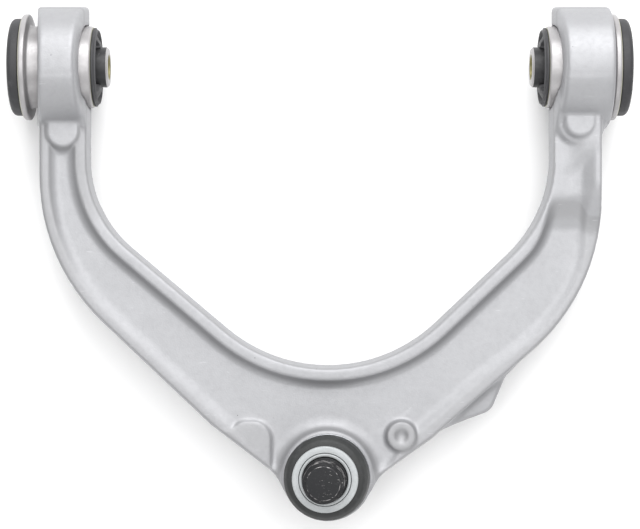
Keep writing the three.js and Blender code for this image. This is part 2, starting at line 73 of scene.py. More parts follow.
def span(node):
    """The lowest and highest corner of a CAD node, in millimetres from ORIGIN."""
    low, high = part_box(node)
    return (np.array(low) - ORIGIN) / MM, (np.array(high) - ORIGIN) / MM


ARM_LOW, ARM_HIGH = span("arm_forging")
EYE_RADIUS = ARM_HIGH[2]
EYE_BORE = 21.7
EYE_DRAFT = math.tan(math.radians(8))
FRONT_EYE_OUTER, REAR_EYE_OUTER = ARM_LOW[0], ARM_HIGH[0]
FRONT_EYE_INNER, REAR_EYE_INNER = -120.8, 121.3
FLANGE_X = 151.5  # inboard face of both bushing flanges
HOUSING_RADIUS = 23.4
GAP = 0.3  # left between pieces that touch

# ---- profiles and meshes ----------------------------------------------------------------------


def rounded(corners, step_deg=12, closed=True):
    """Points of an outline whose corners (a, b, radius) are rounded by arcs of their radius."""
    count = len(corners)
    points = []
    for i, (a, b, radius) in enumerate(corners):
        corner = np.array([a, b], float)
        at_end = not closed and i in (0, count - 1)
        if radius <= 0 or at_end:
            points.append(corner)
            continue
        back = np.array(corners[i - 1][:2], float) - corner
        ahead = np.array(corners[(i + 1) % count][:2], float) - corner
        back /= np.linalg.norm(back)
        ahead /= np.linalg.norm(ahead)
        half = math.acos(np.clip(back @ ahead, -1, 1)) / 2
        bisector = (back + ahead) / np.linalg.norm(back + ahead)
        centre = corner + bisector * radius / math.sin(half)
        start = corner + back * radius / math.tan(half) - centre
        turn = math.pi - 2 * half
        if back[0] * ahead[1] - back[1] * ahead[0] > 0:
            turn = -turn
        steps = max(2, math.ceil(abs(math.degrees(turn)) / step_deg))
        for k in range(steps + 1):
            c = math.cos(turn * k / steps)
            s = math.sin(turn * k / steps)
            points.append(centre + np.array([c * start[0] - s * start[1], s * start[0] + c * start[1]]))
    return np.array(points)


def mesh_from(name, points, faces, zones=None):
    """A mesh object from points in metres and faces that all have as many sides.

    zones gives each face its material index.
    """
    points = np.asarray(points, np.float32)
    faces = np.asarray(faces, np.int32)
    sides = faces.shape[1]
    mesh = bpy.data.meshes.new(name)
    mesh.vertices.add(len(points))
    mesh.vertices.foreach_set("co", points.ravel())
    mesh.loops.add(faces.size)
    mesh.loops.foreach_set("vertex_index", faces.ravel())
    mesh.polygons.add(len(faces))
    mesh.polygons.foreach_set("loop_start", np.arange(0, faces.size, sides, dtype=np.int32))
    if zones is not None:
        mesh.polygons.foreach_set("material_index", np.asarray(zones, np.int32))
    mesh.update(calc_edges=True)
    mesh.validate()
    piece = bpy.data.objects.new(name, mesh)
    bpy.context.scene.collection.objects.link(piece)
    return piece


def revolve(name, section, place, segments=128, pole=False, zone=None):
    """Turns a section about an axis.

    section(angle) gives points [radius, height], always as many, counter-clockwise round a ring. With
    pole, the section starts and ends on the axis. place turns arrays (radius, angle, height) into points
    in metres. zone(radius, height) gives a face's material index.
    """
    angles = np.arange(segments) * 2 * math.pi / segments
    rings = np.array([section(angle) for angle in angles])
    count = rings.shape[1]
    around = np.repeat(angles[:, None], count, 1)
    points = place(rings[:, :, 0], around, rings[:, :, 1]).reshape(-1, 3)
    along = count - 1 if pole else count
    i, j = np.meshgrid(np.arange(segments), np.arange(along), indexing="ij")
    i2 = (i + 1) % segments
    j2 = (j + 1) % count
    faces = np.stack([i * count + j, i2 * count + j, i2 * count + j2, i * count + j2], -1)
    zones = None
    if zone is not None:
        middle = (rings[i, j] + rings[i, j2]).reshape(-1, 2) / 2
        zones = [zone(radius, height) for radius, height in middle]
    piece = mesh_from(name, points, faces.reshape(-1, 4), zones)
    if pole:
        weld(piece)
    return piece


def weld(piece):
    """Joins the points that meet on the axis, which leaves triangles there."""
    distance = 1e-7
    bm = bmesh.new()
    bm.from_mesh(piece.data)
    bmesh.ops.remove_doubles(bm, verts=bm.verts, dist=distance)
    bmesh.ops.dissolve_degenerate(bm, edges=bm.edges, dist=distance)
    bm.to_mesh(piece.data)
    bm.free()


def smooth_share(value, start, end):
    """0 before start, 1 after end, and a smooth change between them."""
    t = np.clip((value - start) / (end - start), 0, 1)
    return t * t * (3 - 2 * t)


# ---- node materials ---------------------------------------------------------------------------


class Finish:
    """Builds one procedural material. Lengths are in millimetres."""

    def __init__(self, name, color, metallic, roughness):
        self.material = bpy.data.materials.new(name)
        self.material.use_nodes = True
        self.tree = self.material.node_tree
        self.shader = self.tree.nodes["Principled BSDF"]
        self.color = color
        self.rough = roughness
        self.normal = None
        self.place = self.tree.nodes.new("ShaderNodeTexCoord").outputs["Object"]
        self.shader.inputs["Metallic"].default_value = metallic
        self.material.diffuse_color = (*color, 1)

    def link(self, source, target):
        self.tree.links.new(source, target)

    def feed(self, value, target):
        """Links a socket's output, or sets a plain number or colour."""
        if isinstance(value, bpy.types.NodeSocket):
            self.link(value, target)
        elif isinstance(value, tuple):
            target.default_value = (*value, 1)
        else:
            target.default_value = value

    def math(self, operation, a, b):
        node = self.tree.nodes.new("ShaderNodeMath")
        node.operation = operation
        self.feed(a, node.inputs[0])
        self.feed(b, node.inputs[1])
        return node.outputs[0]

    def stretch(self, size, turn_deg=0.0):
        """Coordinates stretched so that one unit of texture is size millimetres long on each axis."""
        node = self.tree.nodes.new("ShaderNodeMapping")
        node.inputs["Rotation"].default_value = (0, 0, math.radians(turn_deg))
        node.inputs["Scale"].default_value = [1 / (length * MM) for length in size]
        self.link(self.place, node.inputs["Vector"])
        return node.outputs[0]

    def noise(self, size, detail=3.0, roughness=0.55, place=None, distortion=0.0):
        node = self.tree.nodes.new("ShaderNodeTexNoise")
        node.inputs["Scale"].default_value = 1.0 if place else 1 / (size * MM)
        node.inputs["Detail"].default_value = detail
        node.inputs["Roughness"].default_value = roughness
        node.inputs["Distortion"].default_value = distortion
        self.link(place or self.place, node.inputs["Vector"])
        return node.outputs["Fac"]

    def cells(self, size):
        node = self.tree.nodes.new("ShaderNodeTexVoronoi")
        node.inputs["Scale"].default_value = 1 / (size * MM)
        self.link(self.place, node.inputs["Vector"])
        return node.outputs["Distance"]

    def height_share(self, start, end):
        """Grows from 0 to 1 between two heights above the bushing axis."""
        node = self.tree.nodes.new("ShaderNodeSeparateXYZ")
        self.link(self.place, node.inputs["Vector"])
        return self.ramp(node.outputs["Z"], ORIGIN[2] + start * MM, ORIGIN[2] + end * MM)

    def ramp(self, source, start, end, low=0.0, high=1.0):
        node = self.tree.nodes.new("ShaderNodeMapRange")
        node.interpolation_type = "SMOOTHSTEP"
        for key, value in (("From Min", start), ("From Max", end), ("To Min", low), ("To Max", high)):
            node.inputs[key].default_value = value
        self.link(source, node.inputs["Value"])
        return node.outputs["Result"]

    def tint(self, share, color):
        """Turns the colour towards another where share is 1."""
        node = self.tree.nodes.new("ShaderNodeMix")
        node.data_type = "RGBA"
        self.link(share, node.inputs["Factor"])
        self.feed(self.color, node.inputs["A"])
        self.feed(color, node.inputs["B"])
        self.color = node.outputs["Result"]

    def roughen(self, share, amount):
        self.rough = self.math("ADD", self.rough, self.math("MULTIPLY", share, amount))

    def bump(self, height, depth):
        """Bends the surface normal as if height 0 to 1 were depth millimetres of relief."""
        node = self.tree.nodes.new("ShaderNodeBump")
        node.inputs["Distance"].default_value = depth * MM
        self.link(height, node.inputs["Height"])
        if self.normal is not None:
            self.link(self.normal, node.inputs["Normal"])
        self.normal = node.outputs["Normal"]

    def done(self, specular=0.5):
        self.feed(self.color, self.shader.inputs["Base Color"])
        self.feed(self.rough, self.shader.inputs["Roughness"])
        self.shader.inputs["Specular IOR Level"].default_value = specular
        if self.normal is not None:
            self.link(self.normal, self.shader.inputs["Normal"])
        return self.material


def forged_aluminium():
    f = Finish("forged_aluminium", (0.365, 0.367, 0.380), 0.6, 0.52)
    cloud = f.noise(22, detail=2)
    f.tint(f.ramp(cloud, 0.35, 0.7, 0, 0.3), (0.40, 0.402, 0.416))
    # The lower rims are a little greyer than the web between them.
    low_rims = f.math("MULTIPLY", f.height_share(8.4, 10), f.height_share(12.4, 11.6))
    f.tint(low_rims, (0.325, 0.326, 0.336))
    mottle = f.noise(2.4, detail=4, roughness=0.65)
    f.tint(f.ramp(mottle, 0.45, 0.75, 0, 0.2), (0.32, 0.322, 0.334))
    f.roughen(f.ramp(mottle, 0.3, 0.7), 0.06)
    # Bright rubs where parts knocked together, in short strokes.
    rub = f.noise(1, detail=2, place=f.stretch((9, 1.1, 4), 35))
    f.tint(f.ramp(rub, 0.69, 0.77, 0, 0.45), (0.53, 0.53, 0.55))
    # Dark scuffs and a few pits.
    scuff = f.noise(1, detail=3, place=f.stretch((0.9, 5, 2), 20), distortion=0.4)
    f.tint(f.ramp(scuff, 0.73, 0.78, 0, 0.5), (0.2, 0.2, 0.205))
    spots = f.ramp(f.cells(7), 0.045, 0.03)
    patches = f.ramp(f.noise(31, detail=1), 0.52, 0.56)
    f.tint(f.math("MULTIPLY", spots, patches), (0.12, 0.12, 0.125))
    f.bump(f.noise(16, detail=1), 0.4)
    f.bump(f.cells(0.9), 0.03)
    f.bump(f.noise(0.35, detail=2), 0.02)
    return f.done()


def zinc(name, color, roughness, metallic):
    f = Finish(name, color, metallic, roughness)
    cloud = f.noise(6, detail=3, roughness=0.6)
    f.tint(f.ramp(cloud, 0.4, 0.7, 0, 0.35), tuple(0.8 * part for part in color))
    f.roughen(f.ramp(f.noise(1.1, detail=3), 0.35, 0.7), 0.14)
    spot = f.ramp(f.cells(4.3), 0.05, 0.025, 0, 0.3)
    f.tint(spot, (0.25, 0.25, 0.25))
    f.bump(f.noise(0.5, detail=3), 0.015)
    return f.done()


def black_rubber(name="black_rubber", color=(0.026, 0.026, 0.029), roughness=0.52):
    f = Finish(name, color, 0.0, roughness)
    dust = f.noise(4.5, detail=5, roughness=0.7)
    f.tint(f.ramp(dust, 0.48, 0.78, 0, 0.5), (0.08, 0.08, 0.085))
    f.roughen(f.ramp(dust, 0.4, 0.7), 0.2)
    f.bump(f.noise(0.45, detail=3), 0.04)
    f.bump(f.noise(3.0, detail=2), 0.08)
    return f.done()


def coated_steel():
    f = Finish("coated_steel", (0.026, 0.026, 0.028), 0.2, 0.42)
    worn = f.noise(2.2, detail=4, roughness=0.7)
    f.tint(f.ramp(worn, 0.62, 0.72, 0, 0.7), (0.15, 0.15, 0.155))
    f.roughen(f.ramp(worn, 0.4, 0.7), 0.15)
    f.bump(f.noise(0.4, detail=3), 0.02)
    return f.done()


def passivated_bore():
    f = Finish("yellow_passivated_bore", (0.27, 0.245, 0.12), 0.8, 0.42)
    hue = f.noise(3.5, detail=3)
    f.tint(f.ramp(hue, 0.45, 0.7, 0, 0.6), (0.28, 0.275, 0.20))
    f.bump(f.noise(0.5, detail=3), 0.02)
    return f.done()


def phosphate():
    f = Finish("phosphated_steel", (0.015, 0.0155, 0.017), 0.2, 0.46)
    bloom = f.noise(1.6, detail=5, roughness=0.7)
    f.tint(f.ramp(bloom, 0.5, 0.75, 0, 0.45), (0.05, 0.05, 0.053))
    scratch = f.noise(1, detail=2, place=f.stretch((2.8, 0.55, 3), -30))
    f.tint(f.ramp(scratch, 0.68, 0.74, 0, 0.8), (0.36, 0.35, 0.34))
    f.roughen(f.ramp(bloom, 0.35, 0.7), 0.16)
    f.bump(f.noise(0.3, detail=3), 0.02)
    return f.done(specular=0.25)


def crest_wear_and_painted_highlight():
    # Lighter steel for the thread crests and the tip's chamfer edge: partly bare metal worn through, partly
    # a painted highlight where those edges catch the light.
    f = Finish("thread_crest_wear_and_painted_highlight", (0.30, 0.29, 0.29), 0.8, 0.36)
    f.tint(f.ramp(f.noise(3.2, detail=3), 0.36, 0.54, 0, 1), (0.03, 0.03, 0.032))
    f.bump(f.noise(0.3, detail=2), 0.02)
    return f.done()


def seat_polymer():
    f = Finish("seat_polymer", (0.78, 0.76, 0.68), 0.0, 0.38)
    f.tint(f.ramp(f.noise(7, detail=2), 0.4, 0.7, 0, 0.4), (0.70, 0.67, 0.57))
    f.bump(f.noise(0.6, detail=2), 0.02)
    f.shader.inputs["Subsurface Weight"].default_value = 0.1
    f.shader.inputs["Subsurface Scale"].default_value = 0.002
    return f.done()


def spring_steel():
    f = Finish("spring_steel", (0.42, 0.43, 0.45), 0.95, 0.28)
    f.tint(f.ramp(f.noise(2.4, detail=3), 0.45, 0.7, 0, 0.6), (0.25, 0.26, 0.29))
    f.bump(f.noise(1, detail=2, place=f.stretch((0.3, 4, 4))), 0.015)
    return f.done()


FORGED = forged_aluminium()
ZINC = zinc("zinc_plate", (0.385, 0.376, 0.380), roughness=0.38, metallic=0.6)
YELLOW_ZINC = zinc("yellowed_zinc_edge", (0.40, 0.40, 0.31), roughness=0.45, metallic=0.5)
PALE_ZINC = zinc("pale_zinc_ring", (0.43, 0.448, 0.455), roughness=0.5, metallic=0.35)
RUBBER = black_rubber()
BOOT_RUBBER = black_rubber("boot_rubber", (0.020, 0.0215, 0.0215))
# A lighter rubber for the bushing's lip and the voids' edges: partly dust, partly a painted highlight where
# those edges catch the light.
DUST_AND_HIGHLIGHT_RUBBER = black_rubber("rubber_dust_and_painted_highlight", (0.060, 0.060, 0.064), roughness=0.6)
COATED = coated_steel()
BORE = passivated_bore()
PHOSPHATE = phosphate()
CREST_WEAR_AND_HIGHLIGHT = crest_wear_and_painted_highlight()
POLYMER = seat_polymer()
SPRING = spring_steel()


def finish_piece(piece, body, slot, nodes, *materials, sharp_deg=35):
    """Gives a piece its looks, the CAD nodes it replaces and, if body is given, its body. slot is not used.
    """
    for material in materials:
        piece.data.materials.append(material)
    piece.data.shade_smooth()
    piece.data.set_sharp_from_angle(angle=math.radians(sharp_deg))
    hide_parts(*nodes)
    if body is not None:
        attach(piece, body)


# ---- arm forging ------------------------------------------------------------------------------
# The forging is sampled as a field, negative inside, on a grid, and its zero level is the surface.
GRID = 0.85
RIM_TOP = 13.0
WEB_TOP = 7.5
WEB_UNDER = -4.0
LEFT_PAD_TOP = 12.6
RIGHT_PAD_X = 134.4
SIDE_DRAFT = 1.4 / RIM_TOP
FLASH = 0.35  # the trimmed flash line stands this far out along the parting plane
FLASH_HALF_WIDTH = 1.3
LEG_END = 100  # the legs end within the eyes
EAR_LEVEL, EAR_THICKNESS = -4, 6
HOUSING_BOTTOM, HOUSING_SHOULDER, HOUSING_TOP = -22, 11, 15  # from the ball's centre
HOUSING_NECK = 19.9  # radius of the neck that the boot's bead grips
HOUSING_BORES = [  # from height, to height, radius
    (-30, -16.3, 20.0),  # below the cover plate's seat
    (-21.6, -19.8, 21.0),  # the snap ring's groove
    (-18, 11.3, 18.3),  # around the bearing
    (10, 20, 16.6),  # the mouth around the stud
]

# Outlines seen from above. Each corner is x, y and the radius of its rounding.
FAR = 200.0
OUTER_CHAIN = [
    (-147.1, FAR, 0), (-147.1, 1.2, 106), (-57.5, -83.6, 35), (-17, -114.5, 0),
    (26, -114.4, 0), (58.5, -91.2, 35), (147.5, -13.6, 105), (147.5, FAR, 0),
]
INNER_CHAIN = [(120.2, FAR, 0), (-120.2, FAR, 0), (-120.2, 26.9, 60), (7.3, -81.1, 82), (120.2, 26, 70)]
GUSSET = [(140.9, 60, 0), (147.5, 67, 4), (151.0, 76, 2), (151.0, LEG_END, 0), (140.9, LEG_END, 0)]
EAR = [
    (60, -78, 0), (64, -87, 3), (79, -81, 12), (90, -77, 9), (98, -58, 12), (103, -52, 3), (92, -42, 0),
]
LOBE = [(-26, -110, 0), (-26, -82, 9), (-41, -82, 7), (-48, -87.5, 5), (-56, -84, 0), (-50, -100, 0)]


def smooth_max(a, b, k):
    """The greater of two fields, rounded off within k of where they meet."""
    h = np.clip(0.5 + 0.5 * (a - b) / k, 0, 1)
    return b + (a - b) * h + k * h * (1 - h)


def smooth_min(a, b, k):
    return -smooth_max(-a, -b, k)


def between(height, low, high):
    """Signed distance to the layer between two heights, negative inside."""
    return np.abs(height - (low + high) / 2) - (high - low) / 2


def flash(z):
    """How far the flash line stands out at a height."""
    return FLASH * np.maximum(1 - np.abs(z) / FLASH_HALF_WIDTH, 0)


def outline_distance(corners, x, y):
    """Signed distance to a rounded outline, negative inside. The outline may run either way round."""
    outline = rounded(corners, step_deg=4)
    best = np.full(x.shape, 1e9)
    inside = np.zeros(x.shape, bool)
    for (ax, ay), (bx, by) in zip(outline, np.roll(outline, -1, axis=0)):
        ex, ey = bx - ax, by - ay
        length = ex * ex + ey * ey
        if length == 0:
            continue
        px, py = x - ax, y - ay
        t = np.clip((px * ex + py * ey) / length, 0, 1)
        best = np.minimum(best, (px - t * ex) ** 2 + (py - t * ey) ** 2)
        if ay != by:
            crosses = ((ay > y) != (by > y)) & (x < ex * (y - ay) / ey + ax)
            inside ^= crosses
    return np.where(inside, -1, 1) * np.sqrt(best)


def strip_distance(x, y, centre_x, tip_y, half_width):
    """Signed distance to an upright strip with a round lower end."""
    below = np.minimum(y - (tip_y + half_width), 0)
    return np.hypot(x - centre_x, below) - half_width


def leg_fields(x, y):
    """Signed distances to the outer and inner edge of the legs, at the parting plane."""
    return outline_distance(OUTER_CHAIN, x, y), -outline_distance(INNER_CHAIN, x, y)


def raised(height, field, top, slope, brim, foot):
    """Adds a raised flat to a height.

    field is the flat's signed distance and slope is how steep its walls are. brim and foot round their
    upper and lower edge.
    """
    return smooth_max(height, smooth_min(top, top - slope * field, brim), foot)


def web_and_rims(x, y, outer, inner):
    """Height of the web, sunk between a high inner rim and a low outer rim."""
    right = smooth_share(x, 40, 80)
    left = 1 - smooth_share(x, -80, -40)
    outer_side = smooth_share(outer - inner, -6, 6)
    inner_side = 1 - outer_side

    # The widths of the rims.
    outer_inset = 8.5 - 5.0 * smooth_share(x, -50, -30) + 6.5 * smooth_share(x, 34, 48)
    outer_inset = outer_inset - 2.5 * smooth_share(x, 75, 130)
    outer_inset = outer_inset + 5.4 * right * smooth_share(y, -5, 35)
    inner_inset = 9.5 - 5.5 * right * smooth_share(y, 5, 42)
    web = smooth_max(outer + outer_inset, inner + inner_inset, 2.0)

    # Up the right leg the web climbs a ramp until it is nearly level with the inner rim.
    climb = (y - 18.5) / 17.5
    ramp = smooth_max(0.0, smooth_min(1.0, climb, 0.1), 0.1) * right
    floor_height = WEB_TOP + 5.3 * ramp

    # The heights of the rims and the slope of the walls below them.
    low_rim = 1.8 + 1.4 * left * smooth_share(y, -20, 45) + 8.6 * right * smooth_share(y, 14, 44)
    high_rim = RIM_TOP - 2.0 * left * smooth_share(y, 0, 50)
    rim = inner_side * high_rim + outer_side * (WEB_TOP + low_rim)
    wall_width = 2.4 * inner_side + outer_side * (2.6 + 5.4 * right * smooth_share(y, 18, 42))
    rise = np.maximum(rim - floor_height, 0.05)
    crease = 1 - 0.75 * outer_side * right * smooth_share(y, 14, 30)
    foot = np.clip(1.2 * rise, 0.3, 6.0) * crease
    height = smooth_max(floor_height, floor_height + rise / wall_width * web, foot)
    return smooth_min(rim, height, 1.0)


def top_height(x, y, outer, inner):
    """Height of the forging's upper side: rims, sunken web, landings, lobe and boss."""
    height = web_and_rims(x, y, outer, inner)

    # A landing below each eye. The right one has a step around it and a shoulder beside it.
    left_pad = strip_distance(x, y, centre_x=-133.6, tip_y=61.4, half_width=7.8)
    height = raised(height, left_pad, top=LEFT_PAD_TOP, slope=1.5, brim=1.2, foot=1.5)
    step = strip_distance(x, y, centre_x=134.0, tip_y=63.0, half_width=10.4)
    height = raised(height, step, top=15.4, slope=1.6, brim=1.5, foot=2.0)
    right_pad = strip_distance(x, y, centre_x=RIGHT_PAD_X, tip_y=66.6, half_width=7.2)
    height = raised(height, right_pad, top=18.4, slope=1.5, brim=1.0, foot=1.0)
    shoulder = smooth_max(139 - x, 61 - y, 4.0)
    height = raised(height, shoulder, top=17.6, slope=0.45, brim=1.5, foot=2.0)

    lobe = outline_distance(LOBE, x, y)
    height = raised(height, lobe, top=WEB_TOP + 1.9, slope=1.3, brim=1.0, foot=1.2)

    # The round boss and the dimple in it.
    from_boss = np.hypot(x - 42.3, y + 89.2)
    height = raised(height, from_boss - 7.3, top=WEB_TOP + 3.6, slope=2.4, brim=0.8, foot=1.8)
    dimple = WEB_TOP + 1.9 + 1.7 * (from_boss / 3.9) ** 2
    return np.where(from_boss < 6, smooth_min(height, dimple, 0.4), height)


def under_height(x, y, outer, inner):
    """Height of the forging's lower side: a rim all round and a web sunk between them."""
    outer_inset = np.where(x > 0, 7.0, 6.5) - 3.0 * (smooth_share(x, -50, -30) - smooth_share(x, 50, 66))
    inner_inset = 9.5
    web_end = np.where(x > 0, 48.0, 52.0)
    wall_width = 2.8
    web = smooth_max(outer + outer_inset, inner + inner_inset, 2.0)
    web = smooth_max(web, y - web_end, 5.0)
    depth = WEB_UNDER + RIM_TOP
    sunk = smooth_min(depth, smooth_max(0.0, -web * depth / wall_width, 2.0), 6.0)
    return -RIM_TOP + sunk


def eye_field(x, y, z, inner, outer, outer_draft):
    """A barrel around the bushing axis whose forged end faces lean in from the parting plane."""
    side = np.sign(outer)
    radial = np.hypot(y - AXIS_Y, z) - EYE_RADIUS - flash(z)
    inboard = side * (inner - x) + np.abs(z) * EYE_DRAFT
    outboard = side * (x - outer) + np.abs(z) * EYE_DRAFT * outer_draft
    return smooth_max(smooth_max(radial, inboard, 2.8), outboard, 2.0)


def add_eye(arm, sides, axes, inner, outer, outer_draft):
    """Joins an eye to the arm's field, in place. sides is the field of the leg's side walls."""
    x, y, z = axes
    # Only the part of the grid near the eye is changed.
    near_x = np.sign(outer) * x[:, 0, 0] > 95
    near_y = y[0, :, 0] > 30
    block = np.ix_(near_x, near_y, np.ones(z.size, bool))
    eye = eye_field(x[near_x], y[:, near_y], z, inner, outer, outer_draft)
    # The fillet under the eye is tight over the landing and wide inboard of it. It stays within
    # the sides of the leg.
    fillet = 1.0 + 5.5 * smooth_share(RIGHT_PAD_X - np.abs(x[near_x]), 7, 12)
    joined = smooth_max(smooth_min(arm[block], eye, fillet), np.minimum(sides[block], eye), 0.6)
    from_axis = np.hypot(y[:, near_y] - AXIS_Y, z)
    arm[block] = smooth_max(joined, EYE_BORE - from_axis, 0.8)


def with_housing(arm, axes):
    """Joins the ball joint's housing to the arm's field and bores it out."""
    x, y, z = axes
    from_axis = np.hypot(x - BALL[0], y - BALL[1])
    height = z - BALL[2]
    barrel = smooth_max(from_axis - HOUSING_RADIUS, between(height, HOUSING_BOTTOM, HOUSING_SHOULDER), 1.6)
    neck = smooth_max(from_axis - HOUSING_NECK, between(height, -5, HOUSING_TOP), 0.6)
    arm = np.minimum(smooth_min(arm, barrel, 8.0), neck)
    for low, high, radius in HOUSING_BORES:
        bore = np.maximum(from_axis - radius, between(height, low, high))
        arm = np.maximum(arm, -bore)
    return arm


def arm_field(low, shape):
    across, along, up = (low[i] + GRID * np.arange(shape[i]) for i in range(3))
    plan_x, plan_y = np.meshgrid(across, along, indexing="ij")
    outer, inner = leg_fields(plan_x, plan_y)
    top = top_height(plan_x, plan_y, outer, inner)
    under = under_height(plan_x, plan_y, outer, inner)
    steep = np.sqrt(1 + np.gradient(top, GRID, axis=0) ** 2 + np.gradient(top, GRID, axis=1) ** 2)
    x = across.astype(np.float32)[:, None, None]
    y = along.astype(np.float32)[None, :, None]
    z = up.astype(np.float32)[None, None, :]

    def lift(values):
        return values.astype(np.float32)[:, :, None]

    # The legs.
    draft = np.abs(z) * SIDE_DRAFT
    edge = lift(smooth_max(smooth_max(outer, inner, 1.0), plan_y - LEG_END, 1.0)) + draft - flash(z)
    arm = smooth_max(edge, (z - lift(top)) / lift(steep), 1.3)
    arm = smooth_max(arm, lift(under) - z, 1.8)

    # The gusset that carries the right leg over to its wider eye.
    gusset_side = lift(outline_distance(GUSSET, plan_x, plan_y)) + draft - flash(z)
    arm = smooth_min(arm, smooth_max(gusset_side, np.abs(z) - RIM_TOP, 2.5), 4.0)

    # The ear, a thin ledge on the right leg. It ends within the rim.
    ear_side = lift(outline_distance(EAR, plan_x, plan_y)) + np.abs(z - EAR_LEVEL) * SIDE_DRAFT
    ear = smooth_max(ear_side, np.abs(z - EAR_LEVEL) - EAR_THICKNESS / 2, 1.6)
    ear = np.maximum(ear, -3 - lift(outer))
    arm = smooth_min(arm, ear, 3.0)

    sides = np.minimum(edge, gusset_side)
    add_eye(arm, sides, (x, y, z), FRONT_EYE_INNER, FRONT_EYE_OUTER, outer_draft=1.0)
    add_eye(arm, sides, (x, y, z), REAR_EYE_INNER, REAR_EYE_OUTER, outer_draft=0.0)
    return with_housing(arm, (x, y, z))


def surface_net(field, low, step):
    """A closed mesh of quads on the zero level of a sampled field."""
    cells = []
    places = []
    flips = []
    for axis in range(3):
        here = [slice(None)] * 3
        there = [slice(None)] * 3
        here[axis], there[axis] = slice(0, -1), slice(1, None)
        a = field[tuple(here)]
        b = field[tuple(there)]
        index = np.argwhere((a < 0) != (b < 0))
        value_a = a[tuple(index.T)]
        value_b = b[tuple(index.T)]
        place = index.astype(np.float64)
        place[:, axis] += value_a / (value_a - value_b)
        # The four cells around the crossed edge.
        around = np.repeat(index[:, None, :], 4, axis=1)
        around[:, :, (axis + 1) % 3] += np.array([-1, 0, 0, -1])
        around[:, :, (axis + 2) % 3] += np.array([-1, -1, 0, 0])
        cells.append(np.ravel_multi_index(around.reshape(-1, 3).T, field.shape).reshape(-1, 4))
        places.append(place)
        flips.append(value_a > 0)
    cells = np.concatenate(cells)
    places = np.repeat(np.concatenate(places)[:, None, :], 4, axis=1).reshape(-1, 3)
    flips = np.concatenate(flips)
    # Each cell that is crossed gets one point, the middle of its crossings.
    found, faces = np.unique(cells.ravel(), return_inverse=True)
    hits = np.bincount(faces, minlength=len(found))
    points = np.stack([np.bincount(faces, weights=places[:, k]) / hits for k in range(3)], -1)
    faces = faces.reshape(-1, 4)
    faces[flips] = faces[flips][:, ::-1]
    return low + step * points, faces


def arm_forging():
    margin = 3 * GRID
    low = np.array([FRONT_EYE_OUTER, BALL[1] - HOUSING_RADIUS, -EYE_RADIUS]) - margin
    high = np.array([REAR_EYE_OUTER, AXIS_Y + EYE_RADIUS, EYE_RADIUS]) + margin
    shape = np.ceil((high - low) / GRID).astype(int) + 1
    points, faces = surface_net(arm_field(low, shape), low, GRID)
    piece = mesh_from("arm_forging_forged", ORIGIN + points * MM, faces)
    most_triangles = 185000
    share = most_triangles / (2 * len(faces))
    if share < 1:
        thin = piece.modifiers.new("thin", "DECIMATE")
        thin.ratio = share
        settled = piece.evaluated_get(bpy.context.evaluated_depsgraph_get())
        piece.data = bpy.data.meshes.new_from_object(settled)
        piece.modifiers.clear()
    finish_piece(piece, "arm", "forged_aluminium", ["arm_forging"], FORGED, sharp_deg=50)


arm_forging()

# ---- bushings ---------------------------------------------------------------------------------
SLEEVE_RADIUS = 21.4
SLEEVE_WALL = 2.2
SLEEVE_END = -33.2
TUBE_RADIUS = 10.5
TUBE_BORE = 6.5
TUBE_INBOARD, TUBE_OUTBOARD = -40.9, 8.5
FLANGE_RADIUS, FLANGE_THICKNESS = 27.7, 3.4
BUMPER_RADIUS, BUMPER_OUTBOARD = 25.4, 9.5


def along_bushing(side):
    """Places a lathe on the bushing axis: heights run outboard from the flange's inboard face."""

    def place(radius, angle, height):
        x = side * (FLANGE_X + height)
        y = AXIS_Y + radius * np.cos(angle)
        z = side * radius * np.sin(angle)
        return ORIGIN + np.stack([x, y, z], -1) * MM

    return place


def outer_sleeve(name, side):
    inside = SLEEVE_RADIUS - SLEEVE_WALL
    section = rounded([
        (inside, SLEEVE_END, 0.5), (SLEEVE_RADIUS, SLEEVE_END, 1.5), (SLEEVE_RADIUS, 0, 1.3),
        (FLANGE_RADIUS, 0, 0.9), (FLANGE_RADIUS, FLANGE_THICKNESS, 1.2), (inside, FLANGE_THICKNESS, 0.6),
    ], step_deg=18)

    def zone(radius, height):
        by_bumper = height > FLANGE_THICKNESS - 0.5
        by_rubber = height < SLEEVE_END + 0.3
        return 1 if by_bumper or by_rubber else 0

    piece = revolve(f"{name}_outer_sleeve_turned", lambda angle: section, along_bushing(side), zone=zone)
    finish_piece(piece, "arm", "zinc_plated_steel", [f"{name}_outer_sleeve"], ZINC, YELLOW_ZINC)


